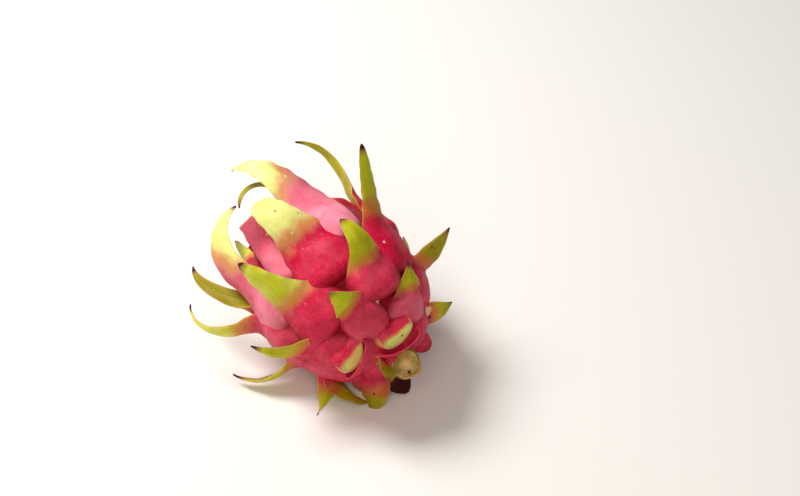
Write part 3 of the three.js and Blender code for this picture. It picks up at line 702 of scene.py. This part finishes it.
# ---------------------------------------------------------------- nodes of the materials
class Tree:
    """Adds nodes to a tree and links what is passed to their inputs."""

    def __init__(self, tree):
        self.tree = tree
        self.facts = {}

    def link(self, value, socket):
        self.tree.links.new(value, socket)

    def node(self, kind, inputs=None, **settings):
        node = self.tree.nodes.new(kind)
        for name, value in settings.items():
            setattr(node, name, value)
        for key, value in (inputs or {}).items():
            if isinstance(value, bpy.types.NodeSocket):
                self.link(value, node.inputs[key])
            else:
                node.inputs[key].default_value = value
        return node

    def math(self, operation, a, b=0.0, clamp=False):
        return self.node("ShaderNodeMath", {0: a, 1: b}, operation=operation,
                         use_clamp=clamp).outputs[0]

    def plus(self, *values, clamp=False):
        return functools.reduce(lambda a, b: self.math("ADD", a, b, clamp), values)

    def minus(self, a, b, clamp=False):
        return self.math("SUBTRACT", a, b, clamp)

    def times(self, *values):
        return functools.reduce(lambda a, b: self.math("MULTIPLY", a, b), values)

    def between(self, value, low, high, start=0.0, end=1.0):
        """Smooth step from start at low to end at high."""
        return self.node("ShaderNodeMapRange", {0: value, 1: low, 2: high, 3: start, 4: end},
                         interpolation_type="SMOOTHSTEP").outputs[0]

    def coats(self, base, coats):
        """The base under coats of other colours: each with its mask and its strength."""
        for over, mask, strength in coats:
            sides = {0: mask if strength == 1 else self.times(mask, strength)}
            for key, side in ((6, base), (7, over)):
                sides[key] = side if isinstance(side, bpy.types.NodeSocket) else (*side, 1.0)
            base = self.node("ShaderNodeMix", sides, data_type="RGBA").outputs[2]
        return base

    def fact(self, name):
        """What the face corners say under a name."""
        if name not in self.facts:
            node = self.node("ShaderNodeAttribute", attribute_name=name)
            self.facts[name] = node.outputs["Fac"]
        return self.facts[name]

    @functools.cached_property
    def place(self):
        """Place on the piece, in metres."""
        return self.node("ShaderNodeTexCoord").outputs["Object"]

    def noise(self, vector, scale, detail=2.0, roughness=0.5):
        return self.node("ShaderNodeTexNoise", {"Vector": vector, "Scale": scale,
                                                "Detail": detail, "Roughness": roughness}
                         ).outputs[0]

    def mask(self, kind, inputs):
        """The mask that a shared node group gives at each place."""
        group = bpy.data.node_groups.get(kind) or SHARED_GROUPS[kind](kind)
        return self.node("ShaderNodeGroup", {"Vector": self.place, **inputs},
                         node_tree=group).outputs["Mask"]

    def mottle(self, per_metre, contrast=1.0):
        return self.mask("Mottle", {"Blotches per metre": per_metre, "Contrast": contrast})

    def marks(self, places):
        """Blemishes at all the places, as one mask."""
        blemishes = [self.mask("Blemish", {"Place": [mm * MM for mm in spot],
                                           "Radius": radius * MM})
                     for *spot, radius in places]
        return functools.reduce(lambda a, b: self.math("MAXIMUM", a, b), blemishes)

    def bump(self, height, strength):
        return self.node("ShaderNodeBump", {"Height": height, "Distance": BUMP_DISTANCE,
                                            "Strength": strength}).outputs[0]


def new_group(name, inputs):
    """A node group with named inputs and one mask, its nodes still to come."""
    group = bpy.data.node_groups.new(name, "ShaderNodeTree")
    for label, default in inputs.items():
        kind = "NodeSocketVector" if default is None else "NodeSocketFloat"
        socket = group.interface.new_socket(label, in_out="INPUT", socket_type=kind)
        if default is not None:
            socket.default_value = default
    group.interface.new_socket("Mask", in_out="OUTPUT", socket_type="NodeSocketFloat")
    tree = Tree(group)
    return (group, tree, tree.node("NodeGroupInput").outputs,
            tree.node("NodeGroupOutput").inputs["Mask"])


def specks_group(name):
    """Scattered round specks: one in some cells, of their own sizes."""
    group, tree, given, mask = new_group(name, {"Vector": None, "Cells per metre": 150,
                                                "Radius": 0.1, "Share": 0.3})
    cells = tree.node("ShaderNodeTexVoronoi",
                      {"Vector": given["Vector"], "Scale": given["Cells per metre"]})
    chance = tree.node("ShaderNodeSeparateColor", {0: cells.outputs["Color"]}).outputs
    size = tree.times(given["Radius"], tree.between(chance[1], 0, 1, 0.4, 1))
    inside = tree.minus(1.0, tree.math("DIVIDE", cells.outputs["Distance"], size), clamp=True)
    chosen = tree.math("LESS_THAN", chance[0], given["Share"])
    tree.link(tree.times(tree.between(inside, 0.0, 0.5), chosen), mask)
    return group


def mottle_group(name):
    """Soft blotches with finer ones inside them, from 0 to 1."""
    group, tree, given, mask = new_group(name, {"Vector": None, "Blotches per metre": 120,
                                                "Contrast": 1.0})
    coarse = tree.noise(given["Vector"], given["Blotches per metre"], 4.0, 0.6)
    centred = tree.times(tree.minus(coarse, 0.5), given["Contrast"])
    tree.link(tree.plus(tree.times(centred, 2.5), 0.5, clamp=True), mask)
    return group


def blemish_group(name):
    """One spot with a ragged edge, at a place and of a radius in metres."""
    group, tree, given, mask = new_group(name, {"Vector": None, "Place": None, "Radius": 0.001})
    away = tree.node("ShaderNodeVectorMath", {0: given["Vector"], 1: given["Place"]},
                     operation="DISTANCE").outputs["Value"]
    ragged = tree.times(tree.noise(given["Vector"], 900.0), 0.9)
    part = tree.plus(tree.math("DIVIDE", away, given["Radius"]), ragged)
    tree.link(tree.between(part, 1.5, 1.1), mask)
    return group


SHARED_GROUPS = {"Specks": specks_group, "Mottle": mottle_group, "Blemish": blemish_group}


def new_material(name):
    material = bpy.data.materials.new(name)
    material.use_nodes = True
    material.node_tree.nodes.clear()
    return material, Tree(material.node_tree)


def finish_material(tree, surface):
    """Gives the material its shader, with these inputs."""
    shader = tree.node("ShaderNodeBsdfPrincipled", surface)
    tree.node("ShaderNodeOutputMaterial", {"Surface": shader.outputs[0]})


# ---------------------------------------------------------------- the materials
# Marks that single scales and the stem carry: the place of each in mm and its radius.
HOLES = ((46.2, 30.2, 34.8, 1.6), (42.5, -11.5, 3.4, 1.8))
STEM_HOLES = ((62.5, 3.4, 28.0, 1.0),)
SPOTS = ((-8.6, -6.6, 89.4, 0.5), (46.5, -5.8, 4.2, 0.8), (29.9, 45.8, 62.0, 0.7),
         (56.6, 3.9, 49.4, 0.7), (39.5, -15.5, 3.4, 1.2))
SCABS = ((45.8, 29.8, 39.7, 3.0), (-34.4, 5.3, 88.4, 1.2), (42.2, 0.4, 63.5, 1.6),
         (-2.7, -15.0, 85.7, 0.9), (23.5, 20.4, 76.8, 0.8), (-16.8, -19.9, 77.1, 0.7))
RUSTS = ((-15.2, -15.3, 91.2, 0.8),)
# How fine the patterns of the skin are: blotches or cells in a metre.
BLOTCHES = 70.0
FINE = 330.0
GRAIN = 1100.0
PALE_SPECKS = {"Cells per metre": 230.0, "Radius": 0.1, "Share": 0.35}
DARK_SPECKS = {"Cells per metre": 120.0, "Radius": 0.1, "Share": 0.14}
BUMP_DISTANCE = MM
# Veins: how many go in a mm across a scale, how drawn out they are along it, and what sets
# those of one scale apart from another's.
VEINS_PER_MM = 1.3
VEIN_DRAWN_OUT = 0.07
VEIN_SHIFT = 97.0


def skin_patterns(tree):
    """Patterns that the layers of the skin share."""
    along_scale = tree.node("ShaderNodeCombineXYZ", {
        0: tree.fact("across_mm"), 1: tree.times(tree.fact("run_mm"), VEIN_DRAWN_OUT),
        2: tree.times(tree.fact("chance"), VEIN_SHIFT)}).outputs[0]
    veins = tree.noise(along_scale, VEINS_PER_MM, 3.0, 0.6)
    return SimpleNamespace(veins=veins, streaks=tree.between(veins, 0.5, 0.8),
                           blotches=tree.mottle(BLOTCHES), fine=tree.mottle(FINE),
                           grain=tree.mottle(GRAIN, contrast=1.4))


def ripe_pink(tree, colours, patterns):
    """Ripe skin: painted shade deepens the creases, and a painted sheen veils it with pale wax in
    patches.
    """
    blotches, deep_and_crease_shade, bloom_and_sheen = patterns.blotches, colours.deep_and_crease_shade, colours.bloom_and_sheen
    # Painted sheen: pale patches near the root of each scale, strongest on the scales that face
    # the light.
    painted_sheen = tree.times(tree.fact("painted_sheen"), tree.between(blotches, 0.0, 0.8, 0.6, 1.0),
                      tree.between(tree.fact("free"), 0.3, -0.1, 0.5, 1.0))
    return tree.coats(colours.skin, [
        (deep_and_crease_shade, patterns.grain, 0.36),
        (deep_and_crease_shade, patterns.fine, 0.46),
        (deep_and_crease_shade, tree.between(blotches, 0.55, 0.05), 0.35),
        (bloom_and_sheen, tree.between(blotches, 0.45, 1.0), 0.1),
        (bloom_and_sheen, tree.between(patterns.grain, 0.55, 0.0), 0.04),
        (bloom_and_sheen, patterns.streaks, 0.06),
        (bloom_and_sheen, painted_sheen, 1),
        # Painted shade in the creases.
        (deep_and_crease_shade, tree.fact("crease"), 0.8),
    ])


def blade_green(tree, colours, patterns):
    """Green of the blades, olive on their inner faces; olive on shaded scales and pale yellow on
    scales in full light, partly their own tone and partly painted light and shade.
    """
    shade = tree.plus(tree.fact("tone"), tree.times(tree.minus(patterns.blotches, 0.5), 0.25))
    shade = tree.minus(shade, tree.times(tree.fact("inner"), 0.25), clamp=True)
    return tree.coats(colours.olive, [
        (colours.lime, tree.between(shade, 0.0, 0.5), 1),
        (colours.yellow, tree.between(shade, 0.45, 1.0), 1),
        (colours.yellow, patterns.streaks, 0.16),
        (colours.olive, patterns.grain, 0.16),
    ])


def turned_to_green(tree):
    """How far the pink has given way to the green, from 0 to 1."""
    wander = tree.times(tree.minus(tree.noise(tree.place, 90.0, 3.0, 0.5), 0.5), 0.3)
    front = tree.plus(tree.minus(tree.fact("free"), tree.fact("green")), wander,
                      tree.times(tree.fact("lean"), tree.fact("across")),
                      tree.times(tree.fact("inner"), 0.35))
    return tree.between(front, -0.17, 0.17)


def cut_flesh(tree, colours, patterns):
    """Face of a scale whose tip was cut off: pale, with a dry rim."""
    cut = tree.fact("cut")
    rim = tree.times(tree.between(cut, 1.0, 1.12), tree.between(cut, 1.3, 1.16))
    return tree.coats(colours.flesh, [
        (colours.lime, patterns.fine, 0.3),
        (colours.bark, rim, 0.35),
        (colours.scab, tree.between(cut, 1.12, 1.0), 1),
    ])


def skin_material(colours):
    """Waxy pink skin that turns green, then dark and dry, towards the tip of each scale."""
    material, tree = new_material("Waxy skin")
    patterns = skin_patterns(tree)
    fine, grain = patterns.fine, patterns.grain
    pink = ripe_pink(tree, colours, patterns)
    green = blade_green(tree, colours, patterns)
    turned = turned_to_green(tree)
    halfway = tree.times(tree.between(turned, 0.0, 0.5), tree.between(turned, 1.0, 0.5))

    edge = tree.times(tree.between(tree.fact("to_margin"), 0.75, 0.3),
                      tree.between(tree.fact("free"), 0.1, 0.35),
                      tree.between(fine, 0.15, 0.7, 0.3, 1.0))
    dry_length = tree.plus(tree.fact("dark"), tree.times(tree.minus(fine, 0.5), 1.5))
    to_dry = tree.minus(tree.fact("to_tip"), dry_length)
    dry_tip = tree.between(to_dry, 1.2, -0.8)
    dried = tree.times(tree.fact("dry"), tree.between(fine, 0.0, 0.8, 0.6, 1.0))
    flesh = cut_flesh(tree, colours, patterns)
    skin = tree.coats(pink, [
        (green, turned, 1),
        (colours.turning, halfway, 0.55),
        (colours.margin, edge, 0.7),
        (colours.speck, tree.mask("Specks", PALE_SPECKS), 0.6),
        (colours.tip, tree.mask("Specks", DARK_SPECKS), 0.5),
        (colours.purple, tree.between(to_dry, 4.0, 0.5), 0.65),
        (colours.tip, dry_tip, 1),
        (flesh, tree.between(tree.fact("cut"), 0.1, 0.6), 1),
        (colours.margin, dried, 1),
        (colours.bark, tree.fact("scar"), 0.85),
        (colours.scab, tree.marks(SCABS), 1),
        (colours.purple, tree.marks(SPOTS), 1),
        (colours.turning, tree.marks(RUSTS), 1),
        (colours.tip, tree.marks(HOLES), 1),
    ])

    dull = tree.math("MAXIMUM", dry_tip, tree.fact("scar"))
    rough = tree.plus(tree.plus(tree.times(grain, 0.12), 0.45), tree.times(dull, 0.3), clamp=True)
    height = tree.plus(tree.times(grain, 0.035), tree.times(fine, 0.05),
                       tree.times(patterns.veins, 0.12))
    finish_material(tree, {
        "Base Color": skin, "Roughness": rough, "Normal": tree.bump(height, 0.6),
        "Subsurface Weight": 0.08, "Subsurface Radius": (1.0, 0.25, 0.15),
        "Subsurface Scale": 0.002, "Specular IOR Level": 0.14})
    return material


def stem_cut(tree, colours, fibres, patches, rings):
    """Cut face of the stem: rings that fade outwards, a pale pith and a dark, cracked side."""
    radius = tree.fact("radius")
    cracked = tree.times(tree.fact("cracked"), tree.between(radius, 0.45, 0.6))
    pith = tree.between(tree.plus(radius, tree.times(fibres, 0.12)), 0.42, 0.2)
    return tree.coats(colours.cut, [
        (colours.olive, fibres, 0.6),
        (colours.scab, tree.between(patches, 0.45, 0.9), 0.45),
        (colours.scab, tree.times(rings, tree.between(radius, 0.62, 0.3)), 0.6),
        (colours.pith, pith, 1),
        (colours.bark, cracked, 0.75),
    ])


def stem_material(colours):
    """Olive, corky cut with broken rings round a paler pith, and a dull side."""
    material, tree = new_material("Cut stem")
    fibres = tree.mottle(400.0)
    patches = tree.mottle(130.0, contrast=1.4)
    radius, face, tan_side = tree.fact("radius"), tree.fact("face"), tree.fact("tan_side")
    wave = tree.plus(tree.times(radius, 34.0), tree.times(fibres, 2.5),
                     tree.times(patches, 3.0))
    rings = tree.times(tree.plus(tree.math("SINE", wave), 1.0), 0.5)
    tan = [0.6 * pith + 0.4 * turning for pith, turning in zip(colours.pith, colours.turning)]
    dry_rim = tree.coats(colours.scab, [(colours.turning, tan_side, 1)])
    ragged = tree.plus(radius, tree.times(tree.minus(patches, 0.5), 0.12))
    fissure = tree.times(tree.between(ragged, 0.8, 0.85), tree.between(ragged, 0.9, 0.85),
                         face, tan_side)
    base = tree.coats(colours.bark, [
        (colours.olive, fibres, 0.6),
        (tan, tan_side, 0.7),
        (stem_cut(tree, colours, fibres, patches, rings), face, 1),
        (dry_rim, tree.times(tree.between(ragged, 0.86, 0.95), face), 0.75),
        (colours.tip, fissure, 0.6),
        (colours.tip, tree.marks(STEM_HOLES), 1),
    ])
    height = tree.plus(tree.times(fibres, 0.4), tree.times(rings, face, 0.12),
                       tree.times(patches, 0.5))
    finish_material(tree, {
        "Base Color": base, "Roughness": 0.6, "Normal": tree.bump(height, 0.9),
        "Specular IOR Level": 0.3})
    return material


def plain_material(name, base, roughness):
    material, tree = new_material(name)
    finish_material(tree, {"Base Color": (*base, 1.0), "Roughness": roughness})
    return material


# ---------------------------------------------------------------- the pieces
def scale_piece(k, body, sizes):
    """One closed scale, with its place and its colouring on its face corners."""
    scale = growth_of(k, sizes)
    draw = np.random.default_rng(1000 * sizes.seed + k - FIRST_SCALE)
    chance = draw.random()
    points, facts = scale_surface(scale, body, draw)
    whole = np.ones(points.shape[:2])
    for name in COLOURING:
        facts[name] = getattr(scale, name) * whole
    facts["chance"] = chance * whole
    facts["scar"] = 0 * whole
    return new_rings(f"scale_{k - FIRST_SCALE}", points, facts, flip=True)


class DRAGONFRUIT_OT_grow_fruit(bpy.types.Operator):
    """Grow the fruit: its core, all its scales and the seat of its stem, as one skin"""

    bl_idname = "dragonfruit.grow_fruit"
    bl_label = "Grow fruit"

    def execute(self, context):
        scene = context.scene
        sizes = scene.fruit_sizes
        body = Body(sizes)
        points, scar = core_points(body, sizes)
        whole = np.ones(points.shape[:2])
        facts = dict.fromkeys(("across", "inner", "across_mm", "run_mm", "cut", "chance",
                               *COLOURING), 0 * whole)
        # The core seen between the scales is darkened in full, as painted shade.
        facts.update(free=-whole, to_tip=FAR * whole, to_margin=FAR * whole, crease=whole,
                     green=whole, scar=scar)
        fruit = new_rings("fruit_skin_and_scales", points, facts)
        scales = [scale_piece(k, body, sizes) for k in range(FIRST_SCALE, LAST_SCALE + 1)]
        combine(fruit, scales, "UNION")
        seat = stem_points(body, scene.stem_sizes, STEM_PROFILE, scene.stem_sizes.gap / MM)
        seat = new_rings("seat", seat, {}, flip=True)
        combine(fruit, [seat, under_surface(sizes)], "DIFFERENCE")
        largest_shell(fruit)
        smooth_shading(fruit)
        fruit.data.materials.clear()
        fruit.data.materials.append(skin_material(scene.fruit_colours))
        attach(fruit, "root")
        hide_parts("fruit")
        return {"FINISHED"}


def under_surface(sizes):
    """A block under the surface, which presses the underside flat."""
    reach = 2 * sizes.length / MM
    block = np.array([[(x, y, z) for x, y in SQUARE] for z in (-2, 0)]) * reach
    return new_rings("under_surface", block, {})


class DRAGONFRUIT_OT_cut_stem(bpy.types.Operator):
    """Make the cut end of the stem, with its corky face"""

    bl_idname = "dragonfruit.cut_stem"
    bl_label = "Cut stem"

    def execute(self, context):
        scene = context.scene
        sizes = scene.stem_sizes
        body = Body(scene.fruit_sizes)
        face = tuple((1.0, width, CUT_DISH * math.cos(math.pi * width / 2))
                     for width in CUT_WIDTHS)
        profile = STEM_PROFILE + face
        points = stem_points(body, sizes, profile, 0.0)
        whole = np.ones(points.shape[:2])
        radius = np.array([width for _, width, _ in profile])[:, None] * whole
        on_face = np.array([0.0] * (len(STEM_PROFILE) - 1) + [1.0] * (len(face) + 1))[:, None]
        turn = once_round(STEM_SIDES)[None, :]
        tan_side = ease(0.2, 0.8, np.cos(turn - TAN_SIDE)) * whole
        cracked = ease(0.5, 0.8, np.cos(turn - CRACKED_SIDE)) * whole
        stem = new_rings("cut_stem", points, {"radius": radius, "face": on_face * whole,
                                              "tan_side": tan_side, "cracked": cracked},
                         flip=True)
        smooth_shading(stem)
        stem.data.materials.append(stem_material(scene.fruit_colours))
        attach(stem, "root")
        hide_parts("stem_stub")
        return {"FINISHED"}


# ---------------------------------------------------------------- the stage, in metres
PICTURE_WIDTH = 800
PICTURE_HEIGHT = 496
SENSOR_WIDTH = 36.0
FLOOR_REACH = 3.0
# Place, size and tint of each light.
KEY_LIGHT = ((-0.55, -0.2, 0.85), 0.45, (1, 0.97, 0.93))
FILL_LIGHT = ((0.5, -0.45, 0.68), 0.7, (1, 0.86, 0.68))


def soft_light(name, form, power, target):
    """A round light, turned towards its target."""
    place, size, tint = form
    light = bpy.data.lights.new(name, "AREA")
    light.energy = power
    light.color = tint
    light.shape = "DISK"
    light.size = size
    lamp = bpy.data.objects.new(name, light)
    bpy.context.scene.collection.objects.link(lamp)
    lamp.location = place
    lamp.rotation_euler = (Vector(target) - Vector(place)).to_track_quat("-Z", "Y").to_euler()


def pale_floor(tint):
    corners = [(x * FLOOR_REACH, y * FLOOR_REACH, 0) for x, y in SQUARE]
    floor = new_object("floor", np.array(corners) / MM, [(0, 1, 2, 3)])
    floor.data.materials.append(plain_material("Pale floor", tint, 0.9))


def white_surround(strength):
    surround = bpy.data.worlds.new("White surround")
    surround.use_nodes = True
    background = surround.node_tree.nodes["Background"]
    background.inputs["Color"].default_value = (1.0, 1.0, 1.0, 1.0)
    background.inputs["Strength"].default_value = strength
    return surround


def place_camera(stage, middle):
    """The camera, turned so that the middle of the fruit stands at its place in the picture."""
    a, e = stage.azimuth, stage.elevation
    back = np.array([math.sin(a) * math.cos(e), -math.cos(a) * math.cos(e), math.sin(e)])
    right = np.array([math.cos(a), math.sin(a), 0.0])
    up = np.cross(back, right)
    aside = (stage.centre_px[0] - PICTURE_WIDTH / 2) / stage.focal_px
    below = (stage.centre_px[1] - PICTURE_HEIGHT / 2) / stage.focal_px
    place = middle - unit(aside * right - below * up - back) * stage.distance
    lens = bpy.data.cameras.new("Camera")
    lens.sensor_width = SENSOR_WIDTH
    lens.lens = stage.focal_px * SENSOR_WIDTH / PICTURE_WIDTH
    camera = bpy.data.objects.new("Camera", lens)
    bpy.context.scene.collection.objects.link(camera)
    placed = np.vstack([np.column_stack([right, up, back, place]), (0, 0, 0, 1)])
    camera.matrix_world = Matrix(placed.tolist())
    bpy.context.scene.camera = camera


class DRAGONFRUIT_OT_set_stage(bpy.types.Operator):
    """Set the pale floor, the soft lights and the camera"""

    bl_idname = "dragonfruit.set_stage"
    bl_label = "Set stage"

    def execute(self, context):
        scene = context.scene
        stage = scene.stage_sizes
        middle = np.array(scene.fruit_sizes.centre)
        pale_floor(stage.floor)
        scene.world = white_surround(stage.surround)
        soft_light("Key light", KEY_LIGHT, stage.key_power, middle)
        soft_light("Fill light", FILL_LIGHT, stage.fill_power, middle)
        place_camera(stage, middle)
        scene.view_settings.view_transform = "Standard"
        return {"FINISHED"}


class DRAGONFRUIT_PT_panel(bpy.types.Panel):
    """Sizes, colours and the steps that make the dragon fruit"""

    bl_idname = "DRAGONFRUIT_PT_panel"
    bl_label = "Dragon fruit"
    bl_space_type = "VIEW_3D"
    bl_region_type = "UI"
    bl_category = "Dragon fruit"

    def draw(self, context):
        for group in SETTINGS:
            box = self.layout.box()
            settings = getattr(context.scene, group)
            box.label(text=settings.bl_rna.name)
            for prop in settings.bl_rna.properties:
                if prop.identifier not in ("rna_type", "name"):
                    box.prop(settings, prop.identifier)
        for step in STEPS:
            self.layout.operator(step.bl_idname)


SETTINGS = {"fruit_sizes": FruitSizes, "stem_sizes": StemSizes, "fruit_colours": FruitColours,
            "stage_sizes": StageSizes}
STEPS = (DRAGONFRUIT_OT_grow_fruit, DRAGONFRUIT_OT_cut_stem, DRAGONFRUIT_OT_set_stage)


def register():
    for kind in (*SETTINGS.values(), *STEPS, DRAGONFRUIT_PT_panel):
        bpy.utils.register_class(kind)
    for name, kind in SETTINGS.items():
        setattr(bpy.types.Scene, name, PointerProperty(type=kind))


def unregister():
    for name in SETTINGS:
        delattr(bpy.types.Scene, name)
    for kind in (DRAGONFRUIT_PT_panel, *reversed(STEPS), *reversed(tuple(SETTINGS.values()))):
        bpy.utils.unregister_class(kind)


def main():
    register()
    bpy.ops.dragonfruit.set_stage()
    bpy.ops.dragonfruit.grow_fruit()
    bpy.ops.dragonfruit.cut_stem()


if __name__ == "__main__":
    main()
